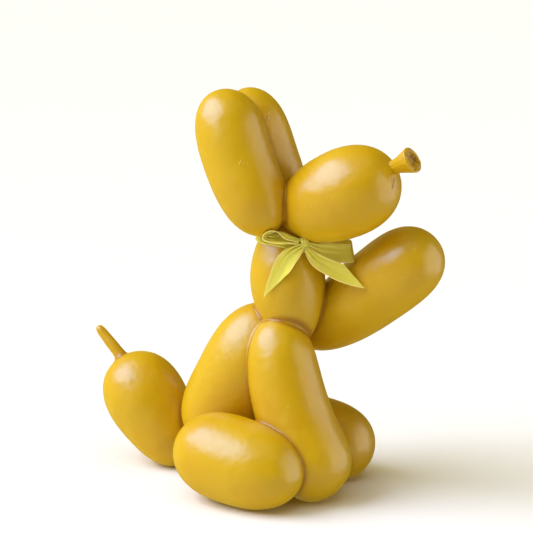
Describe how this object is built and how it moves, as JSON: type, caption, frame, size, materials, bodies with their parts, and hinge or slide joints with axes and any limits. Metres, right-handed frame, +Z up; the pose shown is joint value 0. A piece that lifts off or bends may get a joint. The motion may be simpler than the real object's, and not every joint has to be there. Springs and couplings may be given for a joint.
{
  "type": "balloon dog sculpture",
  "caption": "Seated balloon dog figure cast as fused bubbles, with a raised paw, a tied mouth on its snout and a ribbon bow round its neck.",
  "frame": {"origin": "on the surface it sits on, under the middle of the bounding box", "axes": "+Z up, +X towards the dog's nose, +Y towards the dog's left side, where the raised paw is"},
  "size_m": [0.2202, 0.1206, 0.2352],
  "materials": {
    "yellow_paint": "satin yellow paint on cast resin",
    "lemon_ribbon": "matte woven ribbon with a light edge thread"
  },
  "bodies": {
    "root": {"balloon_dog": "yellow_paint", "ribbon": "lemon_ribbon"}
  },
  "joints": []
}
